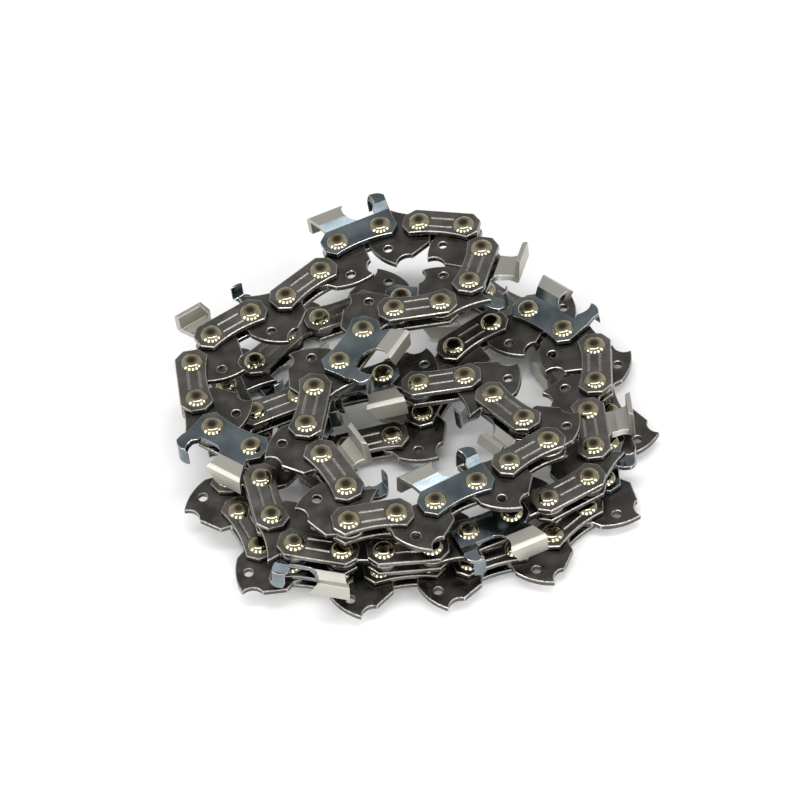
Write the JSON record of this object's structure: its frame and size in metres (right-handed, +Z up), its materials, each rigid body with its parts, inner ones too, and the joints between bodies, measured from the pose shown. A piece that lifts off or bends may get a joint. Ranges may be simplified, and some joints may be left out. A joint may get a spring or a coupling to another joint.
{
  "type": "chainsaw chain loop",
  "caption": "Closed low-profile saw chain, coiled in a heap: left and right cutters, tie straps and tanged drive links joined by domed rivets",
  "frame": {"origin": "on the floor, under the middle of the heap's box", "axes": "+Z up, -Y towards the viewer of the picture, +X to the viewer's right"},
  "size_m": [0.1018, 0.1052, 0.0231],
  "materials": {
    "blackened_chain_steel": "heat-blackened, oiled, semi-gloss",
    "chromed_cutter_steel": "dull bluish chrome plate on ground steel"
  },
  "bodies": {
    "link_01": {"tie_strap_link_01": "blackened_chain_steel"},
    "link_02": {"left_cutter_link_02": "chromed_cutter_steel"},
    "link_03": {"tie_strap_link_03": "blackened_chain_steel"},
    "link_04": {"right_cutter_link_04": "chromed_cutter_steel"},
    "link_05": {"tie_strap_link_05": "blackened_chain_steel"},
    "link_06": {"left_cutter_link_06": "chromed_cutter_steel"},
    "link_07": {"tie_strap_link_07": "blackened_chain_steel"},
    "link_08": {"right_cutter_link_08": "chromed_cutter_steel"},
    "link_09": {"tie_strap_link_09": "blackened_chain_steel"},
    "link_10": {"left_cutter_link_10": "chromed_cutter_steel"},
    "link_11": {"tie_strap_link_11": "blackened_chain_steel"},
    "link_12": {"right_cutter_link_12": "chromed_cutter_steel"},
    "link_13": {"tie_strap_link_13": "blackened_chain_steel"},
    "link_14": {"left_cutter_link_14": "chromed_cutter_steel"},
    "link_15": {"tie_strap_link_15": "blackened_chain_steel"},
    "link_16": {"right_cutter_link_16": "chromed_cutter_steel"},
    "link_17": {"tie_strap_link_17": "blackened_chain_steel"},
    "link_18": {"left_cutter_link_18": "chromed_cutter_steel"},
    "link_19": {"tie_strap_link_19": "blackened_chain_steel"},
    "link_20": {"right_cutter_link_20": "chromed_cutter_steel"},
    "link_21": {"tie_strap_link_21": "blackened_chain_steel"},
    "link_22": {"left_cutter_link_22": "chromed_cutter_steel"},
    "link_23": {"tie_strap_link_23": "blackened_chain_steel"},
    "link_24": {"right_cutter_link_24": "chromed_cutter_steel"},
    "link_25": {"tie_strap_link_25": "blackened_chain_steel"},
    "link_26": {"left_cutter_link_26": "chromed_cutter_steel"},
    "link_27": {"tie_strap_link_27": "blackened_chain_steel"},
    "link_28": {"right_cutter_link_28": "chromed_cutter_steel"},
    "link_29": {"tie_strap_link_29": "blackened_chain_steel"},
    "link_30": {"left_cutter_link_30": "chromed_cutter_steel"},
    "link_31": {"tie_strap_link_31": "blackened_chain_steel"},
    "link_32": {"right_cutter_link_32": "chromed_cutter_steel"},
    "link_33": {"tie_strap_link_33": "blackened_chain_steel"},
    "link_34": {"left_cutter_link_34": "chromed_cutter_steel"},
    "link_35": {"tie_strap_link_35": "blackened_chain_steel"},
    "link_36": {"right_cutter_link_36": "chromed_cutter_steel"},
    "link_37": {"tie_strap_link_37": "blackened_chain_steel"},
    "link_38": {"left_cutter_link_38": "chromed_cutter_steel"},
    "link_39": {"tie_strap_link_39": "blackened_chain_steel"},
    "link_40": {"right_cutter_link_40": "chromed_cutter_steel"},
    "link_41": {"tie_strap_link_41": "blackened_chain_steel"},
    "link_42": {"left_cutter_link_42": "chromed_cutter_steel"},
    "link_43": {"tie_strap_link_43": "blackened_chain_steel"},
    "link_44": {"right_cutter_link_44": "chromed_cutter_steel"}
  },
  "joints": [
    {"name": "pivot_33_34", "type": "hinge", "parent": "link_33", "child": "link_34", "pos_m": [0.03762, -0.02337, 0.00286], "axis": [0.0181, -0.0017, 0.9998], "range_deg": [-0.98, 0.98]},
    {"name": "pivot_34_35", "type": "hinge", "parent": "link_34", "child": "link_35", "pos_m": [0.04066, -0.00501, 0.00284], "axis": [0.0096, 0.001, 1], "range_deg": [-1.18, 1.18]},
    {"name": "pivot_35_36", "type": "hinge", "parent": "link_35", "child": "link_36", "pos_m": [0.03596, 0.01273, 0.00284], "axis": [0.0043, 0.0018, 1], "range_deg": [-0.62, 0.62]},
    {"name": "pivot_36_37", "type": "hinge", "parent": "link_36", "child": "link_37", "pos_m": [0.02564, 0.02772, 0.00284], "axis": [0.0013, 0.0014, 1], "range_deg": [-0.357, 0.357]},
    {"name": "pivot_37_38", "type": "hinge", "parent": "link_37", "child": "link_38", "pos_m": [0.0098, 0.03428, 0.00284], "axis": [0.0002, 0.0015, 1], "range_deg": [-0.9, 0.9]},
    {"name": "pivot_38_39", "type": "hinge", "parent": "link_38", "child": "link_39", "pos_m": [-0.00868, 0.03529, 0.00284], "axis": [-0.0006, 0.0022, 1], "range_deg": [-1.14, 1.14]},
    {"name": "pivot_39_40", "type": "hinge", "parent": "link_39", "child": "link_40", "pos_m": [-0.02607, 0.02881, 0.00284], "axis": [-0.0026, 0.0027, 1], "range_deg": [-0.51, 0.51]},
    {"name": "pivot_40_41", "type": "hinge", "parent": "link_40", "child": "link_41", "pos_m": [-0.03982, 0.01627, 0.00284], "axis": [-0.0114, -0.0019, 0.9999], "range_deg": [-2.41, 2.41]},
    {"name": "pivot_41_42", "type": "hinge", "parent": "link_41", "child": "link_42", "pos_m": [-0.03324, -0.00098, 0.00289], "axis": [-0.0218, -0.023, 0.9995], "range_deg": [-0.148, 0.148]},
    {"name": "pivot_42_43", "type": "hinge", "parent": "link_42", "child": "link_43", "pos_m": [-0.0155, -0.00596, 0.00325], "axis": [-0.0404, -0.0492, 0.998], "range_deg": [-1.49, 1.49]},
    {"name": "pivot_43_44", "type": "hinge", "parent": "link_43", "child": "link_44", "pos_m": [0.00146, 0.00002, 0.00439], "axis": [-0.0553, -0.0695, 0.996], "range_deg": [-0.01, 0.01]},
    {"name": "pivot_44_01", "type": "hinge", "parent": "link_44", "child": "link_01", "pos_m": [0.00993, 0.01621, 0.00626], "axis": [-0.0713, -0.0643, 0.9954], "range_deg": [-0.434, 0.434]},
    {"name": "pivot_01_02", "type": "hinge", "parent": "link_01", "child": "link_02", "pos_m": [0.02707, 0.02284, 0.00793], "axis": [-0.0754, -0.0066, 0.9971], "range_deg": [-2.41, 2.41]},
    {"name": "pivot_02_03", "type": "hinge", "parent": "link_02", "child": "link_03", "pos_m": [0.03972, 0.0092, 0.00858], "axis": [-0.0289, 0.0084, 0.9995], "range_deg": [-2.02, 2.02]},
    {"name": "pivot_03_04", "type": "hinge", "parent": "link_03", "child": "link_04", "pos_m": [0.03615, -0.00899, 0.00864], "axis": [-0.0066, 0.0009, 1], "range_deg": [-0.248, 0.248]},
    {"name": "pivot_04_05", "type": "hinge", "parent": "link_04", "child": "link_05", "pos_m": [0.03402, -0.02734, 0.00869], "axis": [0.0124, -0.0046, 0.9999], "range_deg": [-0.72, 0.72]},
    {"name": "pivot_05_06", "type": "hinge", "parent": "link_05", "child": "link_06", "pos_m": [0.01705, -0.03496, 0.00896], "axis": [0.0382, -0.0158, 0.9991], "range_deg": [-0.059, 0.059]},
    {"name": "pivot_06_07", "type": "hinge", "parent": "link_06", "child": "link_07", "pos_m": [-0.00017, -0.04198, 0.00969], "axis": [0.0569, -0.0319, 0.9979], "range_deg": [-1.1, 1.1]},
    {"name": "pivot_07_08", "type": "hinge", "parent": "link_07", "child": "link_08", "pos_m": [-0.0187, -0.04098, 0.01095], "axis": [0.0625, -0.0582, 0.9963], "range_deg": [-1.16, 1.16]},
    {"name": "pivot_08_09", "type": "hinge", "parent": "link_08", "child": "link_09", "pos_m": [-0.03235, -0.0305, 0.01252], "axis": [0.0469, -0.0699, 0.9964], "range_deg": [-0.99, 0.99]},
    {"name": "pivot_09_10", "type": "hinge", "parent": "link_09", "child": "link_10", "pos_m": [-0.03528, -0.01217, 0.01394], "axis": [0.02, -0.0571, 0.9982], "range_deg": [-0.95, 0.95]},
    {"name": "pivot_10_11", "type": "hinge", "parent": "link_10", "child": "link_11", "pos_m": [-0.04578, 0.0023, 0.01485], "axis": [-0.0041, -0.0328, 0.9995], "range_deg": [-2.04, 2.04]},
    {"name": "pivot_33_32", "type": "hinge", "parent": "link_33", "child": "link_32", "pos_m": [0.02513, -0.03689, 0.00306], "axis": [0.0263, -0.0108, 0.9996], "range_deg": [-0.67, 0.67]},
    {"name": "pivot_32_31", "type": "hinge", "parent": "link_32", "child": "link_31", "pos_m": [0.00726, -0.04201, 0.00347], "axis": [0.0284, -0.0256, 0.9993], "range_deg": [-0.81, 0.81]},
    {"name": "pivot_31_30", "type": "hinge", "parent": "link_31", "child": "link_30", "pos_m": [-0.01133, -0.04151, 0.00404], "axis": [0.0322, -0.0459, 0.9984], "range_deg": [-0.402, 0.402]},
    {"name": "pivot_30_29", "type": "hinge", "parent": "link_30", "child": "link_29", "pos_m": [-0.02939, -0.03819, 0.00505], "axis": [0.0379, -0.0685, 0.9969], "range_deg": [-0.83, 0.83]},
    {"name": "pivot_29_28", "type": "hinge", "parent": "link_29", "child": "link_28", "pos_m": [-0.03925, -0.02312, 0.0066], "axis": [0.0153, -0.0823, 0.9965], "range_deg": [-1.36, 1.36]},
    {"name": "pivot_28_27", "type": "hinge", "parent": "link_28", "child": "link_27", "pos_m": [-0.03922, -0.00489, 0.00824], "axis": [-0.0217, -0.0762, 0.9969], "range_deg": [-1.38, 1.38]},
    {"name": "pivot_27_26", "type": "hinge", "parent": "link_27", "child": "link_26", "pos_m": [-0.02432, 0.00451, 0.00963], "axis": [-0.0601, -0.0414, 0.9973], "range_deg": [-0.93, 0.93]},
    {"name": "pivot_26_25", "type": "hinge", "parent": "link_26", "child": "link_25", "pos_m": [-0.00585, 0.00621, 0.01114], "axis": [-0.0786, 0.009, 0.9969], "range_deg": [-0.99, 0.99]},
    {"name": "pivot_25_24", "type": "hinge", "parent": "link_25", "child": "link_24", "pos_m": [0.01134, 0.00117, 0.01272], "axis": [-0.0759, 0.0478, 0.996], "range_deg": [-0.66, 0.66]},
    {"name": "pivot_24_23", "type": "hinge", "parent": "link_24", "child": "link_23", "pos_m": [0.0223, -0.01382, 0.01409], "axis": [-0.0304, 0.0573, 0.9979], "range_deg": [-2.15, 2.15]},
    {"name": "pivot_23_22", "type": "hinge", "parent": "link_23", "child": "link_22", "pos_m": [0.01793, -0.0263, 0.0151], "axis": [0.0246, 0.0496, 0.9985], "range_deg": [-0.102, 0.102]},
    {"name": "pivot_22_21", "type": "hinge", "parent": "link_22", "child": "link_21", "pos_m": [0.00158, -0.03512, 0.01601], "axis": [0.0575, -0.0084, 0.9983], "range_deg": [-0.79, 0.79]},
    {"name": "pivot_21_20", "type": "hinge", "parent": "link_21", "child": "link_20", "pos_m": [-0.01659, -0.03862, 0.01738], "axis": [0.0837, -0.0652, 0.9944], "range_deg": [-1.31, 1.31]},
    {"name": "pivot_20_19", "type": "hinge", "parent": "link_20", "child": "link_19", "pos_m": [-0.02064, -0.02108, 0.01902], "axis": [0.0424, -0.0681, 0.9968], "range_deg": [-0.67, 0.67]},
    {"name": "pivot_19_18", "type": "hinge", "parent": "link_19", "child": "link_18", "pos_m": [-0.02064, -0.0032, 0.02002], "axis": [0.0256, -0.0461, 0.9986], "range_deg": [-1.46, 1.46]},
    {"name": "pivot_18_17", "type": "hinge", "parent": "link_18", "child": "link_17", "pos_m": [-0.00901, 0.01129, 0.02023], "axis": [0.0135, -0.014, 0.9998], "range_deg": [-0.56, 0.56]},
    {"name": "pivot_17_16", "type": "hinge", "parent": "link_17", "child": "link_16", "pos_m": [0.00802, 0.01668, 0.0201], "axis": [0.0093, 0.0166, 0.9998], "range_deg": [-0.474, 0.474]},
    {"name": "pivot_16_15", "type": "hinge", "parent": "link_16", "child": "link_15", "pos_m": [0.01837, 0.03134, 0.01953], "axis": [-0.0153, 0.0437, 0.9989], "range_deg": [-3, 3]},
    {"name": "pivot_15_14", "type": "hinge", "parent": "link_15", "child": "link_14", "pos_m": [0.00583, 0.04249, 0.0185], "axis": [-0.0496, 0.0262, 0.9984], "range_deg": [-1.53, 1.53]},
    {"name": "pivot_14_13", "type": "hinge", "parent": "link_14", "child": "link_13", "pos_m": [-0.01226, 0.04072, 0.01735], "axis": [-0.0554, -0.0139, 0.9984], "range_deg": [-1.08, 1.08]},
    {"name": "pivot_13_12", "type": "hinge", "parent": "link_13", "child": "link_12", "pos_m": [-0.02466, 0.0274, 0.01631], "axis": [-0.0395, -0.0305, 0.9988], "range_deg": [-0.331, 0.331]}
  ],
  "couplings": [
    {"joint": "pivot_33_34", "follows": "pivot_16_15", "ratio": 0.32521},
    {"joint": "pivot_34_35", "follows": "pivot_16_15", "ratio": 0.39316},
    {"joint": "pivot_35_36", "follows": "pivot_16_15", "ratio": 0.20644},
    {"joint": "pivot_36_37", "follows": "pivot_16_15", "ratio": -0.11837},
    {"joint": "pivot_37_38", "follows": "pivot_16_15", "ratio": -0.29961},
    {"joint": "pivot_38_39", "follows": "pivot_16_15", "ratio": -0.37821},
    {"joint": "pivot_39_40", "follows": "pivot_16_15", "ratio": -0.17071},
    {"joint": "pivot_40_41", "follows": "pivot_16_15", "ratio": 0.80361},
    {"joint": "pivot_41_42", "follows": "pivot_16_15", "ratio": -0.048914},
    {"joint": "pivot_42_43", "follows": "pivot_16_15", "ratio": -0.49558},
    {"joint": "pivot_43_44", "follows": "pivot_16_15", "ratio": -0.002897},
    {"joint": "pivot_44_01", "follows": "pivot_16_15", "ratio": 0.14415},
    {"joint": "pivot_01_02", "follows": "pivot_16_15", "ratio": 0.80412},
    {"joint": "pivot_02_03", "follows": "pivot_16_15", "ratio": -0.67145},
    {"joint": "pivot_03_04", "follows": "pivot_16_15", "ratio": 0.082026},
    {"joint": "pivot_04_05", "follows": "pivot_16_15", "ratio": -0.23975},
    {"joint": "pivot_05_06", "follows": "pivot_16_15", "ratio": 0.019246},
    {"joint": "pivot_06_07", "follows": "pivot_16_15", "ratio": 0.36626},
    {"joint": "pivot_07_08", "follows": "pivot_16_15", "ratio": 0.38708},
    {"joint": "pivot_08_09", "follows": "pivot_16_15", "ratio": -0.33064},
    {"joint": "pivot_09_10", "follows": "pivot_16_15", "ratio": 0.31529},
    {"joint": "pivot_10_11", "follows": "pivot_16_15", "ratio": -0.67959},
    {"joint": "pivot_33_32", "follows": "pivot_16_15", "ratio": 0.22106},
    {"joint": "pivot_32_31", "follows": "pivot_16_15", "ratio": 0.26859},
    {"joint": "pivot_31_30", "follows": "pivot_16_15", "ratio": 0.13356},
    {"joint": "pivot_30_29", "follows": "pivot_16_15", "ratio": 0.27489},
    {"joint": "pivot_29_28", "follows": "pivot_16_15", "ratio": -0.45174},
    {"joint": "pivot_28_27", "follows": "pivot_16_15", "ratio": -0.45843},
    {"joint": "pivot_27_26", "follows": "pivot_16_15", "ratio": 0.30789},
    {"joint": "pivot_26_25", "follows": "pivot_16_15", "ratio": 0.33009},
    {"joint": "pivot_25_24", "follows": "pivot_16_15", "ratio": 0.21793},
    {"joint": "pivot_24_23", "follows": "pivot_16_15", "ratio": -0.71493},
    {"joint": "pivot_23_22", "follows": "pivot_16_15", "ratio": -0.033456},
    {"joint": "pivot_22_21", "follows": "pivot_16_15", "ratio": 0.26134},
    {"joint": "pivot_21_20", "follows": "pivot_16_15", "ratio": 0.43554},
    {"joint": "pivot_20_19", "follows": "pivot_16_15", "ratio": -0.22115},
    {"joint": "pivot_19_18", "follows": "pivot_16_15", "ratio": -0.48678},
    {"joint": "pivot_18_17", "follows": "pivot_16_15", "ratio": 0.18445},
    {"joint": "pivot_17_16", "follows": "pivot_16_15", "ratio": -0.15742},
    {"joint": "pivot_15_14", "follows": "pivot_16_15", "ratio": -0.51027},
    {"joint": "pivot_14_13", "follows": "pivot_16_15", "ratio": -0.3606},
    {"joint": "pivot_13_12", "follows": "pivot_16_15", "ratio": 0.1098}
  ]
}
